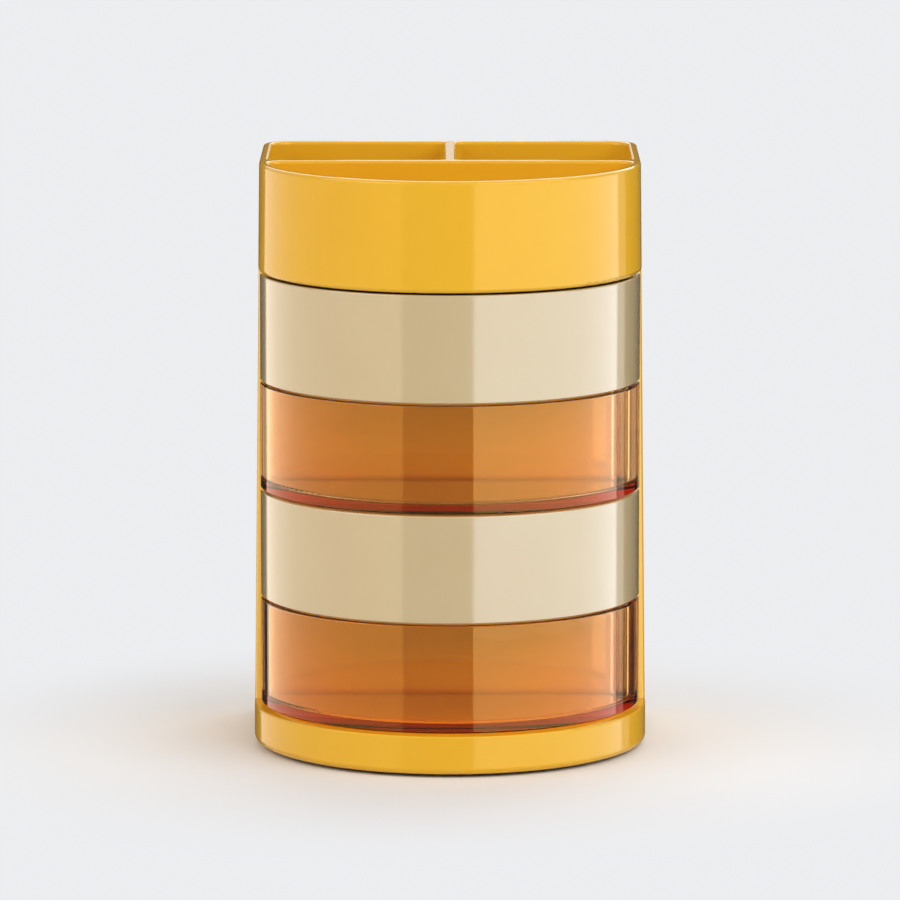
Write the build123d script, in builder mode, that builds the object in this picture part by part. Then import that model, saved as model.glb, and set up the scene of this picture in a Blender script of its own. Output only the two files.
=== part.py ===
"""Desk organizer with a pen holder, a clip bowl and four swivelling drawers.

Seen from above the organizer has a half-round front and a square back with rounded corners.
The back half is a tall pen holder with two wells. In front of it four half-round drawers are
stacked on one steel pin at their right rear corner, and each swings out on its own. Over the
drawers the housing reaches forward as a shallow bowl. The housing is open below, and stands
on a base that closes the wells, carries the pin and rests on four rubber pads.

The origin is the centre of the footprint on the desk. +Z is up, the drawers face -Y and the
pin stands on the +X side. All sizes are in millimetres and all angles in degrees.
"""

import os
from math import cos, radians, sin, sqrt, tan

from build123d import *

os.makedirs("parts", exist_ok=True)

# ---------------------------------------------------------------- plan of the organizer
width = 85.0  # across the sides of the base
depth = 85.0  # from the front of the base to its back
back_corner_radius = 8.0

# ---------------------------------------------------------------- heights
base_height = 9.0
drawer_height = 23.1
drawer_gap = 0.4  # under each drawer and over the last, filled by a washer on the pin
bowl_height = 23.6

# ---------------------------------------------------------------- housing
housing_draft = 0.68  # outer walls lean in towards the top
housing_wall = 2.6  # at the foot
partition_wall = 1.6  # at the foot, between wells and drawers
divider_wall = 1.3  # at the foot, between the two wells
well_draft = 0.3  # the wells narrow towards the top
well_corner_radius = 2.4
rim_round = 0.7
side_edge_round = 3.0  # upright edges beside the drawers
bowl_wall = 1.9
bowl_floor = 2.0
bowl_corner_radius = 3.0
bowl_floor_round = 1.5
bowl_edge_round = 1.0

# ---------------------------------------------------------------- drawers
drawer_inset = 1.4  # drawers stand this far inside the outline of the base
drawer_wall = 1.6
drawer_floor = 1.8
drawer_back_gap = 0.6  # between the drawers and the partition
drawer_corner_radius = 3.0  # left rear corner
barrel_radius = 3.0  # right rear corner, round the pin
barrel_blend_radius = 1.2  # where the barrel meets the walls inside
drawer_floor_round = 1.0
drawer_edge_round = 0.35
drawer_foot_chamfer = 0.3

# ---------------------------------------------------------------- pin, its seats, washers
pin_radius = 1.5
pin_chamfer = 0.4
pin_seat_clearance = 0.02  # radial, in base and housing
pin_running_clearance = 0.06  # radial, in drawers and washers
pin_end_clearance = 0.3
pin_seat_depth = 5.5  # how deep the pin stands in the base
pin_top_seat_depth = 4.6  # how deep it reaches into the boss in the bowl
pin_boss_wall = 2.4
pin_boss_cap = 1.4  # closed end over the pin
washer_radius = 2.7
washer_clearance = 0.05  # over and under each washer

# ---------------------------------------------------------------- base
base_wall = 2.0
base_deck = 2.0
base_lift = 0.7  # the base clears the desk by this much, standing on its pads
base_top_round = 0.4
base_foot_round = 1.4
rib_thickness = 1.2
rib_spacing = 18.0
rib_lift = 2.4  # underside of the ribs over the foot of the base
fence_thickness = 1.2  # upright rib that centres each well on the base
fence_height = 2.5
fence_clearance = 0.2

# ---------------------------------------------------------------- screws and their bosses
screw_shank_radius = 1.3
screw_tip_length = 1.5
screw_head_radius = 2.5
screw_head_height = 1.8
screw_head_chamfer = 0.7
screw_length = 11.0  # under the head
screw_slot_width = 0.8
screw_slot_length = 3.0
screw_slot_depth = 0.9
screw_pass_clearance = 0.15  # radial, in the base
screw_pilot_clearance = 0.02  # radial, in the boss
screw_boss_radius = 3.1
screw_boss_height = 10.5
screw_tube_wall = 1.2  # round each head, under the deck
screw_seat_thickness = 1.6  # plastic under each head
screw_end_clearance = 0.4  # depth left over in the bosses
screw_corner_inset = 6.2  # from the outside to the screws, back corners
screw_side_inset = 5.3  # from the outside to the screws, beside the partition
screw_side_offset = 4.8  # behind the partition's front face

# ---------------------------------------------------------------- pads
pad_radius = 4.5
pad_thickness = 1.7
pad_chamfer = 0.4
pad_clearance = 0.1
pad_post_wall = 1.2
pad_inset = 13.5  # from the outside of the base to the middle of each pad
pad_front_angle = 45.0  # round the half-round front, away from the sides

# ---------------------------------------------------------------- worked out from the above
drawer_names = ["bottom_drawer", "lower_middle_drawer", "upper_middle_drawer", "top_drawer"]
drawer_pitch = drawer_height + drawer_gap
bowl_bottom = base_height + drawer_gap + len(drawer_names) * drawer_pitch
top = bowl_bottom + bowl_height
back_y = depth / 2
mid_y = width / 2 - depth / 2  # centre of the half-round front, and front of the pen holder
housing_lean = (top - base_height) * tan(radians(housing_draft))
drawer_radius = width / 2 - drawer_inset
drawer_back = mid_y - drawer_back_gap
pin_y = drawer_back - barrel_radius
pin_x = sqrt((drawer_radius - barrel_radius) ** 2 - (pin_y - mid_y) ** 2)
pin_foot = base_height - pin_seat_depth
pin_head = bowl_bottom + pin_top_seat_depth
pin_boss_radius = pin_radius + pin_boss_wall
deck_bottom = base_height - base_deck
screw_seat = deck_bottom - screw_seat_thickness
screw_corner_x = width / 2 - screw_corner_inset
screw_side_x = width / 2 - screw_side_inset
screw_places = [
    (-screw_side_x, mid_y + screw_side_offset),
    (screw_side_x, mid_y + screw_side_offset),
    (-screw_corner_x, back_y - screw_corner_inset),
    (screw_corner_x, back_y - screw_corner_inset),
]
pad_reach = width / 2 - pad_inset
pad_front_x = pad_reach * cos(radians(pad_front_angle))
pad_front_y = mid_y - pad_reach * sin(radians(pad_front_angle))
pad_places = {
    "front_left_pad": (-pad_front_x, pad_front_y),
    "front_right_pad": (pad_front_x, pad_front_y),
    "back_left_pad": (-pad_reach, back_y - pad_inset),
    "back_right_pad": (pad_reach, back_y - pad_inset),
}


def write_part(piece, name):
    """Labels a finished piece and writes it to its own file."""
    piece.part.label = name
    export_step(piece.part, f"parts/{name}.step")


def outline(inset=0.0):
    """Plan of the organizer, drawn in from the outside of the base by inset."""
    half = width / 2 - inset
    with BuildSketch(mode=Mode.PRIVATE) as plan:
        with BuildLine():
            ThreePointArc((-half, mid_y), (0, mid_y - half), (half, mid_y))
            Polyline((half, mid_y), (half, back_y - inset), (-half, back_y - inset), (-half, mid_y))
        make_face()
        fillet(plan.vertices().group_by(Axis.Y)[-1], radius=back_corner_radius - inset)
    return plan.sketch


def wells_plan(inset=0.0):
    """Plan of the two wells at their foot, drawn in from their walls by inset."""
    with BuildSketch(mode=Mode.PRIVATE) as plan:
        add(outline(housing_wall + inset))
        with Locations((0, mid_y + partition_wall + inset)):
            Rectangle(width, depth, align=(Align.CENTER, Align.MIN), mode=Mode.INTERSECT)
        front_corners = plan.vertices().group_by(Axis.Y)[0]
        fillet(front_corners, radius=well_corner_radius)
        Rectangle(divider_wall + 2 * inset, 2 * depth, mode=Mode.SUBTRACT)
        divider_corners = plan.vertices().filter_by_position(
            Axis.X, -divider_wall - inset, divider_wall + inset
        )
        fillet(divider_corners, radius=well_corner_radius)
    return plan.sketch


def bowl_plan():
    """Plan of the hollow of the bowl at the rim."""
    with BuildSketch(mode=Mode.PRIVATE) as plan:
        add(outline(housing_lean + bowl_wall))
        with Locations((0, mid_y)):
            Rectangle(width, depth, align=(Align.CENTER, Align.MAX), mode=Mode.INTERSECT)
        fillet(plan.vertices(), radius=bowl_corner_radius)
    return plan.sketch


def drawer_plan(inset=0.0):
    """Plan of a drawer, drawn in from its outside by inset."""
    radius = drawer_radius - inset
    back = drawer_back - inset
    with BuildSketch(mode=Mode.PRIVATE) as plan:
        with Locations((0, mid_y)):
            Circle(radius)
        with Locations((0, back)):
            Rectangle(width, depth, align=(Align.CENTER, Align.MAX), mode=Mode.INTERSECT)
        fillet(plan.vertices().sort_by(Axis.X)[0], radius=drawer_corner_radius - inset)
        if inset == 0:
            fillet(plan.vertices().sort_by(Axis.X)[-1], radius=barrel_radius)
        else:
            with Locations((pin_x, pin_y)):
                Circle(barrel_radius, mode=Mode.SUBTRACT)
            largest = plan.faces().sort_by(SortBy.AREA)[-1]
            add(largest, mode=Mode.REPLACE)
            fillet(plan.vertices().sort_by(Axis.X)[-2:], radius=barrel_blend_radius)
    return plan.sketch


# ================================================================ housing
# One moulding, open below. Its outer walls lean in towards the top. The bay for the drawers
# and the two wells are drawn from below, the bowl from above. A closed boss in the right rear
# corner of the bowl takes the head of the pin, and four bosses in the corners of the wells
# take the screws.
with BuildPart() as housing:
    with BuildSketch(Plane.XY.offset(base_height)):
        add(outline())
    extrude(amount=top - base_height, taper=housing_draft)

    with BuildSketch(Plane.XY.offset(base_height)):
        with Locations((0, mid_y)):
            Rectangle(2 * width, depth, align=(Align.CENTER, Align.MAX))
    extrude(amount=bowl_bottom - base_height, mode=Mode.SUBTRACT)
    bay_edges = housing.edges().filter_by_position(Axis.Y, mid_y - 0.1, mid_y + 0.1)
    side_edges = bay_edges.filter_by_position(
        Axis.Z, base_height + 1, bowl_bottom - 1
    ).filter_by(lambda edge: edge.length > drawer_pitch)
    fillet(side_edges, radius=side_edge_round)
    bowl_edges = housing.faces().filter_by_position(
        Axis.Z, bowl_bottom - 0.1, bowl_bottom + 0.1
    ).edges().filter_by(GeomType.CIRCLE)
    fillet(bowl_edges.sort_by(SortBy.LENGTH)[-1], radius=bowl_edge_round)

    with BuildSketch(Plane.XY.offset(base_height)):
        add(wells_plan())
    extrude(amount=top - base_height, taper=well_draft, mode=Mode.SUBTRACT)

    with BuildSketch(Plane.XY.offset(bowl_bottom + bowl_floor)):
        add(bowl_plan())
    extrude(amount=bowl_height - bowl_floor, mode=Mode.SUBTRACT)
    bowl_floor_edges = housing.edges().filter_by_position(
        Axis.Z, bowl_bottom + bowl_floor - 0.1, bowl_bottom + bowl_floor + 0.1
    )
    fillet(bowl_floor_edges, radius=bowl_floor_round)
    fillet(housing.faces().sort_by(Axis.Z)[-1].edges(), radius=rim_round)

    with BuildSketch(Plane.XY.offset(base_height)):
        with Locations(*screw_places):
            Circle(screw_boss_radius)
    extrude(amount=screw_boss_height)
    with BuildSketch(Plane.XY.offset(base_height)):
        with Locations(*screw_places):
            Circle(screw_shank_radius + screw_pilot_clearance)
    extrude(amount=screw_seat + screw_length + screw_end_clearance - base_height, mode=Mode.SUBTRACT)

    with BuildSketch(Plane.XY.offset(bowl_bottom)):
        with Locations((pin_x, pin_y)):
            Circle(pin_boss_radius)
        add(outline(housing_lean + bowl_wall / 2), mode=Mode.INTERSECT)
    extrude(amount=pin_top_seat_depth + pin_end_clearance + pin_boss_cap)
    with BuildSketch(Plane.XY.offset(bowl_bottom)):
        with Locations((pin_x, pin_y)):
            Circle(pin_radius + pin_seat_clearance)
    extrude(amount=pin_top_seat_depth + pin_end_clearance, mode=Mode.SUBTRACT)
write_part(housing, "housing")


# ================================================================ base
# A hollow moulding whose deck is the floor of the wells and carries the lowest drawer. Two
# upright fences centre the wells, and ribs stiffen the deck from below. Tubes under the deck
# hold the screw heads, a boss holds the foot of the pin, and posts carry the pads.
with BuildPart() as base:
    with BuildSketch(Plane.XY.offset(base_lift)):
        add(outline())
    extrude(amount=base_height - base_lift)
    fillet(base.faces().sort_by(Axis.Z)[0].edges(), radius=base_foot_round)
    fillet(base.faces().sort_by(Axis.Z)[-1].edges(), radius=base_top_round)
    with BuildSketch(Plane.XY.offset(base_lift)):
        add(outline(base_wall))
    extrude(amount=deck_bottom - base_lift, mode=Mode.SUBTRACT)

    with BuildSketch(Plane.XY.offset(base_lift + rib_lift)):
        with GridLocations(rib_spacing, 0, int(width / rib_spacing), 1):
            Rectangle(rib_thickness, 2 * depth)
        with GridLocations(0, rib_spacing, 1, int(depth / rib_spacing)):
            Rectangle(2 * width, rib_thickness)
        add(outline(base_wall / 2), mode=Mode.INTERSECT)
    extrude(amount=deck_bottom - base_lift - rib_lift)

    with BuildSketch(Plane.XY.offset(base_height)):
        add(wells_plan(fence_clearance))
        add(wells_plan(fence_clearance + fence_thickness), mode=Mode.SUBTRACT)
        with Locations(*screw_places):
            Circle(screw_boss_radius + fence_clearance, mode=Mode.SUBTRACT)
    extrude(amount=fence_height)

    with BuildSketch(Plane.XY.offset(base_lift)):
        with Locations(*screw_places):
            Circle(screw_head_radius + screw_pass_clearance + screw_tube_wall)
        add(outline(base_wall / 2), mode=Mode.INTERSECT)
    extrude(amount=deck_bottom - base_lift)
    with BuildSketch(Plane.XY.offset(base_lift)):
        with Locations(*pad_places.values()):
            Circle(pad_radius + pad_clearance + pad_post_wall)
    extrude(amount=deck_bottom - base_lift)
    with BuildSketch(Plane.XY.offset(pin_foot - pin_end_clearance - pin_boss_cap)):
        with Locations((pin_x, pin_y)):
            Circle(pin_boss_radius)
        add(outline(base_wall / 2), mode=Mode.INTERSECT)
    extrude(amount=deck_bottom - pin_foot + pin_end_clearance + pin_boss_cap)

    with BuildSketch(Plane.XY.offset(base_lift)):
        with Locations(*screw_places):
            Circle(screw_head_radius + screw_pass_clearance)
    extrude(amount=screw_seat - base_lift, mode=Mode.SUBTRACT)
    with BuildSketch(Plane.XY.offset(screw_seat)):
        with Locations(*screw_places):
            Circle(screw_shank_radius + screw_pass_clearance)
    extrude(amount=base_height - screw_seat, mode=Mode.SUBTRACT)
    with BuildSketch(Plane.XY.offset(base_lift)):
        with Locations(*pad_places.values()):
            Circle(pad_radius + pad_clearance)
    extrude(amount=pad_thickness - base_lift, mode=Mode.SUBTRACT)
    with BuildSketch(Plane.XY.offset(pin_foot - pin_end_clearance)):
        with Locations((pin_x, pin_y)):
            Circle(pin_radius + pin_seat_clearance)
    extrude(amount=base_height - pin_foot + pin_end_clearance, mode=Mode.SUBTRACT)
write_part(base, "base")


# ================================================================ drawers
# Four alike, each an open half-round tray with a straight back. Its right rear corner is a
# barrel that is bored for the pin through the whole height.
for number, name in enumerate(drawer_names):
    foot = base_height + drawer_gap + number * drawer_pitch
    with BuildPart() as drawer:
        with BuildSketch(Plane.XY.offset(foot)):
            add(drawer_plan())
        extrude(amount=drawer_height)
        with BuildSketch(Plane.XY.offset(foot + drawer_floor)):
            add(drawer_plan(drawer_wall))
        extrude(amount=drawer_height - drawer_floor, mode=Mode.SUBTRACT)
        floor_edges = drawer.edges().filter_by_position(
            Axis.Z, foot + drawer_floor - 0.1, foot + drawer_floor + 0.1
        )
        fillet(floor_edges, radius=drawer_floor_round)
        fillet(drawer.faces().sort_by(Axis.Z)[-1].edges(), radius=drawer_edge_round)
        chamfer(drawer.faces().sort_by(Axis.Z)[0].edges(), length=drawer_foot_chamfer)
        with Locations((pin_x, pin_y, foot)):
            Cylinder(
                pin_radius + pin_running_clearance,
                drawer_height,
                align=(Align.CENTER, Align.CENTER, Align.MIN),
                mode=Mode.SUBTRACT,
            )
    write_part(drawer, name)


# ================================================================ pin and washers
# A plain steel rod, chamfered at both ends, held between the base and the boss in the bowl.
# A thin washer fills the gap under each drawer and over the last one.
with BuildPart() as pin:
    with BuildSketch(Plane.XY.offset(pin_foot)):
        with Locations((pin_x, pin_y)):
            Circle(pin_radius)
    extrude(amount=pin_head - pin_foot)
    chamfer(pin.edges().filter_by(GeomType.CIRCLE), length=pin_chamfer)
write_part(pin, "pivot_pin")

for number in range(len(drawer_names) + 1):
    washer_foot = base_height + number * drawer_pitch + washer_clearance
    with BuildPart() as washer:
        with BuildSketch(Plane.XY.offset(washer_foot)):
            with Locations((pin_x, pin_y)):
                Circle(washer_radius)
                Circle(pin_radius + pin_running_clearance, mode=Mode.SUBTRACT)
        extrude(amount=drawer_gap - 2 * washer_clearance)
    write_part(washer, f"washer_{number + 1}")


# ================================================================ screws
# Four alike tapping screws with bevelled heads, turned from a half section, slotted across.
with BuildPart() as screws:
    with BuildSketch(Plane.XZ) as half_section:
        with BuildLine():
            Polyline(
                (0, screw_seat - screw_head_height),
                (screw_head_radius, screw_seat - screw_head_height),
                (screw_head_radius, screw_seat),
                (screw_shank_radius, screw_seat),
                (screw_shank_radius, screw_seat + screw_length - screw_tip_length),
                (screw_shank_radius / 2, screw_seat + screw_length),
                (0, screw_seat + screw_length),
                (0, screw_seat - screw_head_height),
            )
        make_face()
    revolve(axis=Axis.Z)
    chamfer(screws.edges().filter_by(GeomType.CIRCLE).sort_by(Axis.Z)[0], length=screw_head_chamfer)
    with BuildSketch(Plane.XY.offset(screw_seat - screw_head_height)):
        Rectangle(screw_slot_length, screw_slot_width)
        Rectangle(screw_slot_width, screw_slot_length)
    extrude(amount=screw_slot_depth, mode=Mode.SUBTRACT)
    one_screw = screws.part
with BuildPart() as screw_group:
    with Locations(*screw_places):
        add(one_screw)
write_part(screw_group, "screws")


# ================================================================ pads
# Four rubber discs in recesses of the base. They stand proud of it and rest on the desk.
for name, place in pad_places.items():
    with BuildPart() as pad:
        with BuildSketch():
            with Locations(place):
                Circle(pad_radius)
        extrude(amount=pad_thickness)
        chamfer(pad.edges().sort_by(Axis.Z)[0], length=pad_chamfer)
    write_part(pad, name)
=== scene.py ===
import math

import bmesh
import bpy
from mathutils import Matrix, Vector


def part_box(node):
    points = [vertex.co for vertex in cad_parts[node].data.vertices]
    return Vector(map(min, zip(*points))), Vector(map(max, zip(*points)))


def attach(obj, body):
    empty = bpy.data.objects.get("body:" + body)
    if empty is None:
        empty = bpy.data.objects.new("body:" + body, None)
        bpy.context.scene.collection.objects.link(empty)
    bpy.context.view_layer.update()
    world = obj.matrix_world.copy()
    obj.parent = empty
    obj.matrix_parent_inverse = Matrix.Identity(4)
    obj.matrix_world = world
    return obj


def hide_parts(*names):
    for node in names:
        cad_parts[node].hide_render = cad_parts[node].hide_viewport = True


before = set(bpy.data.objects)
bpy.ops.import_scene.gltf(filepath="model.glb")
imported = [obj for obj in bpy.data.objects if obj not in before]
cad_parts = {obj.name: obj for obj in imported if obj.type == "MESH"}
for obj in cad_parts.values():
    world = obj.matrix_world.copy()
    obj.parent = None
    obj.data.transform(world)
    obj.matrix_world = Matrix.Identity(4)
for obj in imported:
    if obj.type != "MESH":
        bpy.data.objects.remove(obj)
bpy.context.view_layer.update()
body = "body"


# ---------------------------------------------------------------- base
# The base is one hollow moulding in yellow ABS, polished in the mould. It closes the pen wells
# from below and carries the foot of the pin. Under a low light its gloss shows the faint
# waviness and clouding that every moulded plastic has.
def fed(tree, node, inputs):
    """Sets a node's inputs, by name or number, to values or to the sockets that feed them."""
    for key, value in inputs.items():
        if isinstance(value, bpy.types.NodeSocket):
            tree.links.new(value, node.inputs[key])
        else:
            node.inputs[key].default_value = value


def wired(tree, kind, inputs=None, **settings):
    """Adds a node to a tree, with its settings and with what feeds its inputs."""
    node = tree.nodes.new(kind)
    for setting, value in settings.items():
        setattr(node, setting, value)
    fed(tree, node, inputs or {})
    return node


def with_ports(tree, inputs, outputs):
    """Gives a node group its inputs and outputs, and returns the sockets inside of both."""
    for name, kind, value in inputs:
        port = tree.interface.new_socket(name, in_out="INPUT", socket_type=f"NodeSocket{kind}")
        if value is not None:
            port.default_value = value
    for name, kind in outputs:
        tree.interface.new_socket(name, in_out="OUTPUT", socket_type=f"NodeSocket{kind}")
    return tree.nodes.new("NodeGroupInput").outputs, tree.nodes.new("NodeGroupOutput")


def moulding_group():
    """Clouding, scuffs and fine relief of a polished moulding, as a shader node group."""
    tree = bpy.data.node_groups.new("moulded_surface", "ShaderNodeTree")
    given, result = with_ports(tree, (
        ("Colour", "Color", (0.8, 0.8, 0.8, 1)),
        ("Deep Colour", "Color", (0.7, 0.7, 0.7, 1)),
        ("Cloud Scale", "Float", 60.0),
        ("Wave Scale", "Float", 90.0),
        ("Wave Height", "Float", 0.00002),
        ("Grain Scale", "Float", 2500.0),
        ("Grain Height", "Float", 0.000001),
        ("Gloss", "Float", 0.08),
        ("Gloss Spread", "Float", 0.05),
        ("Scuffs", "Float", 0.12),
    ), (("Colour", "Color"), ("Roughness", "Float"), ("Normal", "Vector")))
    place = wired(tree, "ShaderNodeTexCoord").outputs["Object"]

    cloud = wired(tree, "ShaderNodeTexNoise", {
        "Vector": place, "Scale": given["Cloud Scale"], "Detail": 4,
    }).outputs["Fac"]
    tone = wired(tree, "ShaderNodeMix", {
        "Factor": cloud, "A": given["Colour"], "B": given["Deep Colour"],
    }, data_type="RGBA")

    # Scuffs are hairlines: a noise drawn out into thin streaks, of which only the peaks show.
    hairline_turn = (0.4, 0.7, 0.3)
    hairline_scale = (90, 2600, 110)
    hairline_peak = (0.66, 0.74)
    handled = wired(tree, "ShaderNodeMath", {
        0: cloud, 1: given["Gloss Spread"], 2: given["Gloss"],
    }, operation="MULTIPLY_ADD")
    stretch = wired(tree, "ShaderNodeMapping", {
        "Vector": place, "Rotation": hairline_turn, "Scale": hairline_scale,
    })
    hairlines = wired(tree, "ShaderNodeTexNoise", {
        "Vector": stretch.outputs["Vector"], "Scale": 1,
    })
    few = wired(tree, "ShaderNodeMapRange", {
        "Value": hairlines.outputs["Fac"],
        "From Min": hairline_peak[0], "From Max": hairline_peak[1],
    })
    scuffed = wired(tree, "ShaderNodeMath", {
        0: few.outputs["Result"], 1: given["Scuffs"], 2: handled.outputs["Value"],
    }, operation="MULTIPLY_ADD")

    wave = wired(tree, "ShaderNodeTexNoise", {
        "Vector": place, "Scale": given["Wave Scale"], "Detail": 1,
    })
    waviness = wired(tree, "ShaderNodeBump", {
        "Height": wave.outputs["Fac"], "Distance": given["Wave Height"],
    })
    grain = wired(tree, "ShaderNodeTexNoise", {
        "Vector": place, "Scale": given["Grain Scale"], "Detail": 2,
    })
    relief = wired(tree, "ShaderNodeBump", {
        "Height": grain.outputs["Fac"], "Distance": given["Grain Height"],
        "Normal": waviness.outputs["Normal"],
    })
    fed(tree, result, {
        "Colour": tone.outputs["Result"],
        "Roughness": scuffed.outputs["Value"],
        "Normal": relief.outputs["Normal"],
    })
    return tree


moulded_surface = moulding_group()


def fresh_material(name, inputs):
    """A material whose shader has these inputs, with its tree and the shader."""
    material = bpy.data.materials.new(name)
    material.use_nodes = True
    tree = material.node_tree
    shader = tree.nodes["Principled BSDF"]
    fed(tree, shader, inputs)
    return material, tree, shader


def moulded_plastic(name, colour, deep_colour, sheen, **settings):
    """A material of polished ABS. settings are inputs of the group, by their names."""
    abs_ior = 1.54
    material, tree, shader = fresh_material(name, {"IOR": abs_ior, "Specular Tint": (*sheen, 1)})
    surface = wired(tree, "ShaderNodeGroup", {
        "Colour": (*colour, 1), "Deep Colour": (*deep_colour, 1),
        **{setting.replace("_", " ").title(): value for setting, value in settings.items()},
    }, node_tree=moulded_surface)
    fed(tree, shader, {
        "Base Color": surface.outputs["Colour"],
        "Roughness": surface.outputs["Roughness"],
        "Normal": surface.outputs["Normal"],
    })
    return material


def dress(node, material):
    """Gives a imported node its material."""
    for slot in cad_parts[node].material_slots:
        slot.material = material


yellow_abs = moulded_plastic(
    "yellow_abs", (0.79, 0.44, 0.024), (0.76, 0.40, 0.018), sheen=(1.0, 0.82, 0.4)
)
dress("base", yellow_abs)


# ---------------------------------------------------------------- pads
# Four round pads of black rubber, moulded with two grooves round the sole. Each sits in a
# recessed post under the base, and they keep it from sliding on the desk.
def grain_group():
    """Grain of a matte material, in its tone and in its relief, as a shader node group."""
    tree = bpy.data.node_groups.new("fine_grain", "ShaderNodeTree")
    given, result = with_ports(tree, (
        ("Colour", "Color", (0.5, 0.5, 0.5, 1)),
        ("Deep Colour", "Color", (0.35, 0.35, 0.35, 1)),
        ("Grain Scale", "Float", 1800.0),
        ("Grain Height", "Float", 0.00003),
    ), (("Colour", "Color"), ("Normal", "Vector")))
    grain = wired(tree, "ShaderNodeTexNoise", {
        "Vector": wired(tree, "ShaderNodeTexCoord").outputs["Object"],
        "Scale": given["Grain Scale"], "Detail": 3,
    }).outputs["Fac"]
    # The tone goes darker with the grain's relief, as painted shade in its hollows.
    tone = wired(tree, "ShaderNodeMix", {
        "Factor": grain, "A": given["Colour"], "B": given["Deep Colour"],
    }, data_type="RGBA")
    relief = wired(tree, "ShaderNodeBump", {"Height": grain, "Distance": given["Grain Height"]})
    fed(tree, result, {"Colour": tone.outputs["Result"], "Normal": relief.outputs["Normal"]})
    return tree


fine_grain = grain_group()


def matte_material(name, colour, roughness):
    """A plain matte material with a fine grain, with painted shade that makes it darker in its
    hollows.
    """
    # Painted shade: the grain's hollows take this share of the colour.
    hollow_painted_shade = 0.7
    material, tree, shader = fresh_material(name, {"Roughness": roughness})
    surface = wired(tree, "ShaderNodeGroup", {
        "Colour": (*colour, 1), "Deep Colour": (*(hollow_painted_shade * part for part in colour), 1),
    }, node_tree=fine_grain)
    fed(tree, shader, {
        "Base Color": surface.outputs["Colour"], "Normal": surface.outputs["Normal"],
    })
    return material


def turned(name, profile, sides=48):
    """A mesh turned about the Z axis from (radius, height) points that start and end on it."""
    mesh = bpy.data.meshes.new(name)
    shape = bmesh.new()
    points = [shape.verts.new((radius, 0, height)) for radius, height in profile]
    lines = [shape.edges.new(pair) for pair in zip(points, points[1:])]
    bmesh.ops.spin(
        shape, geom=points + lines, cent=(0, 0, 0), axis=(0, 0, 1), angle=2 * math.pi, steps=sides
    )
    bmesh.ops.remove_doubles(shape, verts=shape.verts, dist=1e-6)
    bmesh.ops.recalc_face_normals(shape, faces=shape.faces)
    shape.to_mesh(mesh)
    shape.free()
    return bpy.data.objects.new(name, mesh)


def repeated(name, tree, places, values):
    """Runs a geometry tree on one point for each place, and keeps the result as a piece."""
    mesh = bpy.data.meshes.new(name)
    mesh.from_pydata(places, [], [])
    piece = bpy.data.objects.new(name, mesh)
    bpy.context.scene.collection.objects.link(piece)
    maker = piece.modifiers.new(name, "NODES")
    maker.node_group = tree
    for item in tree.interface.items_tree:
        if item.in_out == "INPUT" and item.name in values:
            maker[item.identifier] = values[item.name]
    seen = piece.evaluated_get(bpy.context.evaluated_depsgraph_get())
    finished = bpy.data.meshes.new_from_object(seen)
    piece.modifiers.remove(maker)
    piece.data = finished
    return piece


pad_radius = 0.0045
pad_thickness = 0.0017
pad_top_bevel = 0.0001
sole_round = 0.0005
sole_round_steps = 6
groove_radii = (0.0031, 0.0019)
groove_half_width = 0.0003
groove_floor_half_width = 0.0002
groove_depth = 0.0003
dimple = [(0.0008, 0), (0.0005, 0.0002), (0, 0.0003)]

pad_profile = [
    (0, pad_thickness),
    (pad_radius - pad_top_bevel, pad_thickness),
    (pad_radius, pad_thickness - pad_top_bevel),
]
for step in range(sole_round_steps + 1):
    turn = math.radians(90 * step / sole_round_steps)
    pad_profile.append((
        pad_radius - sole_round + sole_round * math.cos(turn),
        sole_round - sole_round * math.sin(turn),
    ))
for ring in groove_radii:
    pad_profile += [
        (ring + groove_half_width, 0),
        (ring + groove_floor_half_width, groove_depth),
        (ring - groove_floor_half_width, groove_depth),
        (ring - groove_half_width, 0),
    ]
one_pad = turned("one_pad", pad_profile + dimple)

pad_tree = bpy.data.node_groups.new("pads_in_place", "GeometryNodeTree")
pad_given, pad_result = with_ports(pad_tree, (
    ("Places", "Geometry", None),
    ("Pad", "Object", None),
    ("Rubber", "Material", None),
), (("Pads", "Geometry"),))
pad_shape = wired(pad_tree, "GeometryNodeObjectInfo", {"Object": pad_given["Pad"]})
pad_spread = wired(pad_tree, "GeometryNodeInstanceOnPoints", {
    "Points": pad_given["Places"], "Instance": pad_shape.outputs["Geometry"],
})
pad_real = wired(pad_tree, "GeometryNodeRealizeInstances", {
    "Geometry": pad_spread.outputs["Instances"],
})
pad_finish = wired(pad_tree, "GeometryNodeSetMaterial", {
    "Geometry": pad_real.outputs["Geometry"], "Material": pad_given["Rubber"],
})
fed(pad_tree, pad_result, {"Pads": pad_finish.outputs["Geometry"]})

pad_rubber = matte_material("pad_rubber", (0.022, 0.022, 0.022), roughness=0.7)
pad_nodes = ("front_left_pad", "front_right_pad", "back_left_pad", "back_right_pad")
pad_boxes = [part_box(node) for node in pad_nodes]
pad_places = [
    ((low[0] + high[0]) / 2, (low[1] + high[1]) / 2, low[2]) for low, high in pad_boxes
]
pad_values = {"Pad": one_pad, "Rubber": pad_rubber}
rubber_pads = repeated("rubber_pads", pad_tree, pad_places, pad_values)
bpy.data.objects.remove(one_pad)
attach(rubber_pads, body)
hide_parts(*pad_nodes)


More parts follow.
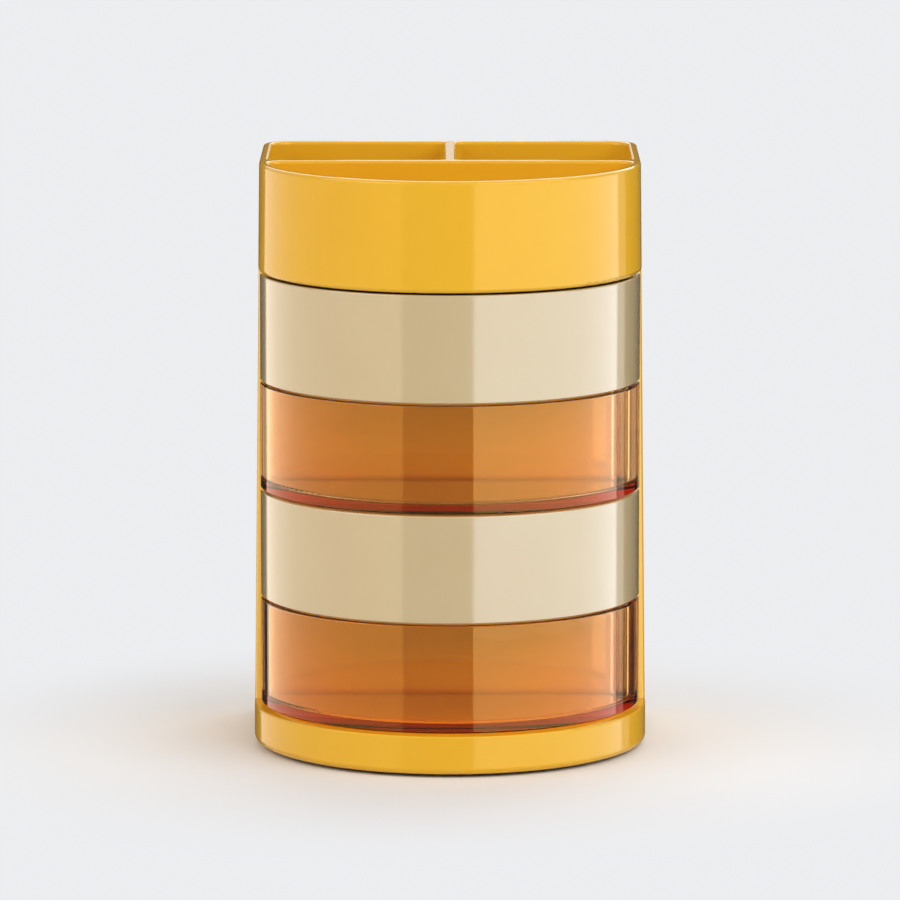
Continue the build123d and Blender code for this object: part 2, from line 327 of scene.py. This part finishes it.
# ---------------------------------------------------------------- pivot pin
# The pin that the drawers swing on is a drawn steel rod with fine lines along its length. Its
# foot stands in the base, and its head is held in a closed boss in the bowl.
draw_lines = (4000, 4000, 60)
pin_steel, steel_tree, steel_shader = fresh_material("pin_steel", {
    "Metallic": 1, "Base Color": (0.42, 0.41, 0.37, 1),
})
steel_lines = wired(steel_tree, "ShaderNodeMapping", {
    "Vector": wired(steel_tree, "ShaderNodeTexCoord").outputs["Object"], "Scale": draw_lines,
})
steel_noise = wired(steel_tree, "ShaderNodeTexNoise", {
    "Vector": steel_lines.outputs["Vector"], "Scale": 1,
})
steel_range = wired(steel_tree, "ShaderNodeMapRange", {
    "Value": steel_noise.outputs["Fac"], "To Min": 0.22, "To Max": 0.38,
})
fed(steel_tree, steel_shader, {"Roughness": steel_range.outputs["Result"]})
dress("pivot_pin", pin_steel)


# ---------------------------------------------------------------- washers
# Five thin nylon washers are threaded on the pin, one under each drawer and one over the
# last. They keep the drawers apart, so that they don't rub.
washer_nylon = matte_material("washer_nylon", (0.75, 0.73, 0.66), roughness=0.5)
for number in range(1, 6):
    dress(f"washer_{number}", washer_nylon)


# ---------------------------------------------------------------- cream drawers
# The top drawer and the one below the middle are opaque trays, moulded in cream ABS with a
# harder polish than the yellow. A barrel at the right rear corner runs on the pin.
cream_abs = moulded_plastic(
    "cream_abs", (0.54, 0.42, 0.225), (0.51, 0.387, 0.197), sheen=(1.0, 1.0, 1.0),
    wave_height=0.000006,
)
fed(cream_abs.node_tree, cream_abs.node_tree.nodes["Principled BSDF"], {
    "Coat Weight": 1, "Coat Roughness": 0.12,
})
dress("top_drawer", cream_abs)
dress("lower_middle_drawer", cream_abs)


# ---------------------------------------------------------------- amber drawers
# The other two drawers are the same tray in clear polystyrene with an amber tint, which is
# deeper where the plastic is thicker. Light passes into them, so shadow rays go through.
amber_styrene, amber_tree, amber_shader = fresh_material("amber_styrene", {
    "Base Color": (1.0, 0.98, 0.95, 1),
    "Roughness": 0.02,
    "IOR": 1.59,
    "Specular Tint": (1.0, 0.7, 0.25, 1),
    "Transmission Weight": 1,
})
amber_passed = wired(amber_tree, "ShaderNodeBsdfTransparent", {"Color": (1.0, 0.99, 0.97, 1)})
amber_mix = wired(amber_tree, "ShaderNodeMixShader", {
    "Fac": wired(amber_tree, "ShaderNodeLightPath").outputs["Is Shadow Ray"],
    1: amber_shader.outputs["BSDF"],
    2: amber_passed.outputs["BSDF"],
})
amber_depth = wired(amber_tree, "ShaderNodeVolumeAbsorption", {
    "Color": (0.965, 0.61, 0.02, 1), "Density": 300,
})
fed(amber_tree, amber_tree.nodes["Material Output"], {
    "Surface": amber_mix.outputs["Shader"], "Volume": amber_depth.outputs["Volume"],
})
dress("bottom_drawer", amber_styrene)
dress("upper_middle_drawer", amber_styrene)


# ---------------------------------------------------------------- housing
# The housing is one moulding in the same yellow ABS as the base, screwed on from below. Where
# the divider and the partition meet its outer walls inside, cooling has drawn in faint lines.
partition_middle = 0.0008  # along Y
divider_line = 0.0022  # half the width of each line
partition_line = 0.0026
back_wall = 0.0395  # the divider's line shows past this Y, and the partition's past this X
side_wall = 0.0405
sink_depth = 0.00004

housing_abs = yellow_abs.copy()
housing_abs.name = "housing_abs"
housing_tree = housing_abs.node_tree
housing_shader = housing_tree.nodes["Principled BSDF"]
smooth_normal = housing_shader.inputs["Normal"].links[0].from_socket
housing_axes = wired(housing_tree, "ShaderNodeSeparateXYZ", {
    "Vector": wired(housing_tree, "ShaderNodeTexCoord").outputs["Object"],
}).outputs


def housing_math(operation, first, second=0.0):
    """One sum in the housing's material, on values or on the sockets that feed them."""
    inputs = {0: first, 1: second}
    return wired(housing_tree, "ShaderNodeMath", inputs, operation=operation).outputs["Value"]


def sink_line(distance, half_width, shown):
    """1 along the middle of a line and 0 from half_width on, where shown is 1."""
    line = wired(housing_tree, "ShaderNodeMapRange", {
        "Value": distance, "From Max": half_width, "To Min": 1, "To Max": 0,
    }, interpolation_type="SMOOTHSTEP")
    return housing_math("MULTIPLY", line.outputs["Result"], shown)


from_middle = housing_math("ABSOLUTE", housing_axes["X"])
from_partition = housing_math("SUBTRACT", housing_axes["Y"], partition_middle)
from_partition = housing_math("ABSOLUTE", from_partition)
at_back = housing_math("GREATER_THAN", housing_axes["Y"], back_wall)
at_side = housing_math("GREATER_THAN", from_middle, side_wall)
divider_sink = sink_line(from_middle, divider_line, at_back)
partition_sink = sink_line(from_partition, partition_line, at_side)
housing_sink = wired(housing_tree, "ShaderNodeBump", {
    "Height": housing_math("MAXIMUM", divider_sink, partition_sink),
    "Distance": sink_depth, "Normal": smooth_normal,
}, invert=True)
fed(housing_tree, housing_shader, {"Normal": housing_sink.outputs["Normal"]})
dress("housing", housing_abs)


# ---------------------------------------------------------------- screws
# Four zinc-plated tapping screws with low domed heads, slotted across, hold the base to the
# housing. They sit at the ends of the tubes under the base and bite into the bosses above.
screw_tree = bpy.data.node_groups.new("tapping_screws", "GeometryNodeTree")
screw_given, screw_result = with_ports(screw_tree, (
    ("Places", "Geometry", None),
    ("Head Radius", "Float", 0.0025),
    ("Rim Height", "Float", 0.001),
    ("Dome Height", "Float", 0.0008),
    ("Shank Radius", "Float", 0.00105),
    ("Thread Radius", "Float", 0.0012),
    ("Thread Depth", "Float", 0.00018),
    ("Length", "Float", 0.011),
    ("Slot Width", "Float", 0.0007),
    ("Slot Length", "Float", 0.0031),
    ("Slot Depth", "Float", 0.0009),
    ("Turns", "Float", 9),
    ("Plating", "Material", None),
), (("Screws", "Geometry"),))
tip_share = 0.5  # of the shank's radius
thread_end_share = 0.75  # of the thread's radius
thread_length_share = 0.88  # of the length, from thread_start_share on
thread_start_share = 0.04
shank_root = -0.0002  # how far the shank reaches into the head
most_turned = 1.5  # each screw stops at an angle of its own, up to this


def screw_node(kind, inputs, **settings):
    return wired(screw_tree, kind, inputs, **settings)


def vector(x, y, z):
    return screw_node("ShaderNodeCombineXYZ", {"X": x, "Y": y, "Z": z}).outputs["Vector"]


def times(a, b):
    return screw_node("ShaderNodeMath", {0: a, 1: b}, operation="MULTIPLY").outputs["Value"]


def moved(geometry, translation, scale=None):
    inputs = {"Geometry": geometry, "Translation": translation}
    if scale is not None:
        inputs["Scale"] = scale
    return screw_node("GeometryNodeTransform", inputs).outputs["Geometry"]


# Each screw stands head down, with the underside of its head at the height of its place.
head_radius, rim_height = screw_given["Head Radius"], screw_given["Rim Height"]
rim = screw_node("GeometryNodeMeshCylinder", {
    "Vertices": 32, "Radius": head_radius, "Depth": rim_height,
})
rim = moved(rim.outputs["Mesh"], vector(0, 0, times(rim_height, -0.5)))
dome = screw_node("GeometryNodeMeshUVSphere", {"Segments": 32, "Rings": 16, "Radius": 1.0})
dome = moved(
    dome.outputs["Mesh"],
    vector(0, 0, times(rim_height, -1)),
    vector(head_radius, head_radius, screw_given["Dome Height"]),
)
shank = screw_node("GeometryNodeMeshCone", {
    "Vertices": 24,
    "Radius Top": times(screw_given["Shank Radius"], tip_share),
    "Radius Bottom": screw_given["Shank Radius"],
    "Depth": screw_given["Length"],
})
shank = moved(shank.outputs["Mesh"], vector(0, 0, shank_root))
solid = screw_node("GeometryNodeMeshBoolean", {}, operation="UNION", solver="EXACT")
for shell in (rim, dome, shank):
    screw_tree.links.new(shell, solid.inputs["Mesh 2"])

head_height = screw_node("ShaderNodeMath", {
    0: rim_height, 1: screw_given["Dome Height"],
}, operation="ADD").outputs["Value"]
slotted = screw_node("GeometryNodeMeshBoolean", {
    "Mesh 1": solid.outputs["Mesh"],
}, operation="DIFFERENCE", solver="EXACT")
for long_way, short_way in (("Slot Length", "Slot Width"), ("Slot Width", "Slot Length")):
    bar = screw_node("GeometryNodeMeshCube", {"Size": vector(
        screw_given[long_way], screw_given[short_way], times(screw_given["Slot Depth"], 2)
    )})
    bar = moved(bar.outputs["Mesh"], vector(0, 0, times(head_height, -1)))
    screw_tree.links.new(bar, slotted.inputs["Mesh 2"])

helix = screw_node("GeometryNodeCurveSpiral", {
    "Resolution": 24,
    "Rotations": screw_given["Turns"],
    "Start Radius": screw_given["Thread Radius"],
    "End Radius": times(screw_given["Thread Radius"], thread_end_share),
    "Height": times(screw_given["Length"], thread_length_share),
})
ridge = screw_node("GeometryNodeCurvePrimitiveCircle", {
    "Resolution": 4, "Radius": screw_given["Thread Depth"],
})
thread = screw_node("GeometryNodeCurveToMesh", {
    "Curve": helix.outputs["Curve"], "Profile Curve": ridge.outputs["Curve"], "Fill Caps": True,
})
thread_start = vector(0, 0, times(screw_given["Length"], thread_start_share))
thread = moved(thread.outputs["Mesh"], thread_start)
whole = screw_node("GeometryNodeJoinGeometry", {})
for shell in (slotted.outputs["Mesh"], thread):
    screw_tree.links.new(shell, whole.inputs["Geometry"])
stopped_at = screw_node("FunctionNodeRandomValue", {
    "Max": most_turned, "Seed": 4,
}, data_type="FLOAT")
spread = screw_node("GeometryNodeInstanceOnPoints", {
    "Points": screw_given["Places"], "Instance": whole.outputs["Geometry"],
    "Rotation": vector(0, 0, stopped_at.outputs["Value"]),
})
real = screw_node("GeometryNodeRealizeInstances", {"Geometry": spread.outputs["Instances"]})
plated = screw_node("GeometryNodeSetMaterial", {
    "Geometry": real.outputs["Geometry"], "Material": screw_given["Plating"],
})
fed(screw_tree, screw_result, {"Screws": plated.outputs["Geometry"]})

screw_zinc, zinc_tree, zinc_shader = fresh_material("screw_zinc", {"Metallic": 1})
zinc_cloud = wired(zinc_tree, "ShaderNodeTexNoise", {
    "Vector": wired(zinc_tree, "ShaderNodeTexCoord").outputs["Object"], "Scale": 900,
}).outputs["Fac"]
zinc_tone = wired(zinc_tree, "ShaderNodeMix", {
    "Factor": zinc_cloud, "A": (0.66, 0.67, 0.68, 1), "B": (0.5, 0.5, 0.49, 1),
}, data_type="RGBA")
zinc_range = wired(zinc_tree, "ShaderNodeMapRange", {
    "Value": zinc_cloud, "To Min": 0.25, "To Max": 0.45,
})
fed(zinc_tree, zinc_shader, {
    "Base Color": zinc_tone.outputs["Result"], "Roughness": zinc_range.outputs["Result"],
})

screw_seat = 0.0054
beside_partition = (0.0372, 0.0048)
in_back_corner = (0.0363, 0.0363)
screw_places = [
    (side * x, y, screw_seat) for x, y in (beside_partition, in_back_corner) for side in (-1, 1)
]
cover_screws = repeated("cover_screws", screw_tree, screw_places, {"Plating": screw_zinc})
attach(cover_screws, body)
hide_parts("screws")


# ---------------------------------------------------------------- desk
# A pale sheet to stand on. Close to the organizer it takes the light and the shadow, and
# further out it fades to the even tone of the backdrop. As the organizer's gloss sees it, at a
# low angle, it is polished and mirrors the screens and cloths that stand round it.
backdrop_tone = (0.84, 0.85, 0.87, 1)
sheet_radius = 6.0
fade_start, fade_end = 0.045, 0.13
glance_start, glance_end = 0.55, 0.82

bpy.ops.mesh.primitive_circle_add(vertices=96, radius=sheet_radius, fill_type="NGON")
sheet = bpy.context.object
sheet.name = "desk_sheet"
sheet_paper, paper, paper_shader = fresh_material("sheet_paper", {
    "Base Color": (0.8, 0.8, 0.81, 1), "Roughness": 0.7,
})
paper_rays = wired(paper, "ShaderNodeLightPath").outputs


def paper_math(operation, first, second):
    inputs = {0: first, 1: second}
    return wired(paper, "ShaderNodeMath", inputs, operation=operation).outputs["Value"]


def paper_mix(share, first, second):
    inputs = {"Fac": share, 1: first, 2: second}
    return wired(paper, "ShaderNodeMixShader", inputs).outputs["Shader"]


def paper_rise(value, start, end):
    """0 up to start and 1 from end on."""
    inputs = {"Value": value, "From Min": start, "From Max": end}
    rise = wired(paper, "ShaderNodeMapRange", inputs, interpolation_type="SMOOTHSTEP")
    return rise.outputs["Result"]


paper_reach = wired(paper, "ShaderNodeVectorMath", {
    0: wired(paper, "ShaderNodeTexCoord").outputs["Object"],
}, operation="LENGTH")
paper_far = wired(paper, "ShaderNodeEmission", {"Color": backdrop_tone})
paper_seen = paper_math("MAXIMUM", paper_rays["Is Camera Ray"], paper_rays["Is Transmission Ray"])
paper_fade = paper_rise(paper_reach.outputs["Value"], fade_start, fade_end)
paper_faded = paper_mix(
    paper_math("MULTIPLY", paper_seen, paper_fade),
    paper_shader.outputs["BSDF"],
    paper_far.outputs["Emission"],
)
paper_polish = wired(paper, "ShaderNodeBsdfGlossy", {
    "Color": (0.85, 0.85, 0.85, 1), "Roughness": 0.02,
})
paper_tilt = wired(paper, "ShaderNodeLayerWeight")
paper_glance = paper_rise(paper_tilt.outputs["Facing"], glance_start, glance_end)
paper_whole = paper_mix(
    paper_math("MULTIPLY", paper_glance, paper_rays["Is Glossy Ray"]),
    paper_faded,
    paper_polish.outputs["BSDF"],
)
fed(paper, paper.nodes["Material Output"], {"Surface": paper_whole})
sheet.data.materials.append(sheet_paper)


# ---------------------------------------------------------------- light
# Soft studio light: a key lamp from the right, a warmer fill from the left and one behind.
# Low screens that only show in the gloss leave a dark stripe down the middle of the fronts.
def level_direction(azimuth):
    """Away from the organizer. Azimuth 0 is in front and 90 is to the right."""
    turn = math.radians(azimuth)
    return Vector((math.sin(turn), -math.cos(turn), 0))


def soft_lamp(name, azimuth, elevation, reach, wide, high, radiance, tint=(1, 1, 1), aim=0.06):
    """An area lamp that faces the organizer, at the height of aim over the desk."""
    lamp = bpy.data.lights.new(name, "AREA")
    lamp.shape = "RECTANGLE"
    lamp.size = wide
    lamp.size_y = high
    lamp.color = tint
    lamp.energy = radiance * wide * high * math.pi
    holder = bpy.data.objects.new(name, lamp)
    lift = math.radians(elevation)
    outward = level_direction(azimuth) * math.cos(lift) + Vector((0, 0, math.sin(lift)))
    holder.location = Vector((0, 0, aim)) + reach * outward
    holder.rotation_euler = (-outward).to_track_quat("-Z", "Y").to_euler()
    holder.visible_camera = False
    bpy.context.scene.collection.objects.link(holder)
    return holder


soft_lamp("key_lamp", azimuth=48, elevation=35, reach=0.9, wide=0.9, high=0.7, radiance=2.8)
soft_lamp(
    "fill_lamp", azimuth=-58, elevation=30, reach=0.9, wide=0.8, high=0.7, radiance=2.15,
    tint=(1.0, 0.92, 0.82),
)
soft_lamp("back_lamp", azimuth=170, elevation=40, reach=0.9, wide=0.8, high=0.7, radiance=1.8)

# The screens are linked to all but the base, or its flat deck mirrors them from behind.
screened = bpy.data.collections.new("screened")
screened.objects.link(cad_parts["base"])
screened.collection_objects[0].light_linking.link_state = "EXCLUDE"
screen_reach = 0.20
screen_height = 0.13
for side, azimuths, wide, radiance, tint in (
    ("right", (29.1, 62.0, 95.0), 0.118, 2.3, (0.87, 0.92, 1.0)),
    ("left", (-44.5, -82.0, -119.5), 0.135, 1.0, (1.0, 0.8, 0.55)),
):
    for number, azimuth in enumerate(azimuths, 1):
        screen = soft_lamp(
            f"{side}_screen_{number}", azimuth, 0, screen_reach, wide, screen_height, radiance,
            tint, aim=screen_height / 2,
        )
        screen.visible_diffuse = False
        screen.light_linking.receiver_collection = screened

# Two dark cloths behind the sides show only in the gloss too, and keep the outer edges deep.
flag_reach = 0.3
flag_height = Vector((0, 0, 0.2))
flag_cloth = matte_material("flag_cloth", (0.03, 0.03, 0.03), roughness=0.9)
for name, azimuth, half_wide in (("left_flag", -158, 0.09), ("right_flag", 150, 0.14)):
    middle = level_direction(azimuth) * flag_reach
    along = level_direction(azimuth + 90) * half_wide
    foot = [middle - along, middle + along]
    cloth = bpy.data.meshes.new(name)
    cloth.from_pydata([*foot, foot[1] + flag_height, foot[0] + flag_height], [], [(0, 1, 2, 3)])
    cloth.materials.append(flag_cloth)
    flag = bpy.data.objects.new(name, cloth)
    bpy.context.scene.collection.objects.link(flag)
    flag.visible_camera = flag.visible_shadow = False
    flag.visible_diffuse = flag.visible_transmission = False

# The air lights the organizer evenly, and is seen as the backdrop by the camera, in the gloss
# and through the amber.
studio = bpy.data.worlds.new("studio")
studio.use_nodes = True
air = studio.node_tree
air_light = air.nodes["Background"]
fed(air, air_light, {"Color": (1, 1, 1, 1), "Strength": 0.34})
air_seen = wired(air, "ShaderNodeBackground", {"Color": backdrop_tone})
air_rays = wired(air, "ShaderNodeLightPath").outputs
air_direct = wired(air, "ShaderNodeMath", {
    0: air_rays["Is Camera Ray"], 1: air_rays["Is Glossy Ray"],
}, operation="MAXIMUM")
air_any = wired(air, "ShaderNodeMath", {
    0: air_direct.outputs["Value"], 1: air_rays["Is Transmission Ray"],
}, operation="MAXIMUM")
air_mix = wired(air, "ShaderNodeMixShader", {
    "Fac": air_any.outputs["Value"],
    1: air_light.outputs["Background"],
    2: air_seen.outputs["Background"],
})
fed(air, air.nodes["World Output"], {"Surface": air_mix.outputs["Shader"]})
bpy.context.scene.world = studio


# ---------------------------------------------------------------- camera
# The camera stands straight in front, a little above the rim, and far enough away that the
# sides stay nearly parallel.
camera_place = Vector((0, -1.45, 0.285))
camera_target = Vector((0, 0, 0.064))
frame_height = 0.195
furthest = 20
camera_data = bpy.data.cameras.new("camera")
camera = bpy.data.objects.new("camera", camera_data)
bpy.context.scene.collection.objects.link(camera)
line_of_sight = camera_target - camera_place
camera.location = camera_place
camera.rotation_euler = line_of_sight.to_track_quat("-Z", "Y").to_euler()
camera_data.lens = camera_data.sensor_width * line_of_sight.length / frame_height
camera_data.clip_end = furthest
bpy.context.scene.camera = camera
bpy.context.scene.view_settings.view_transform = "Standard"
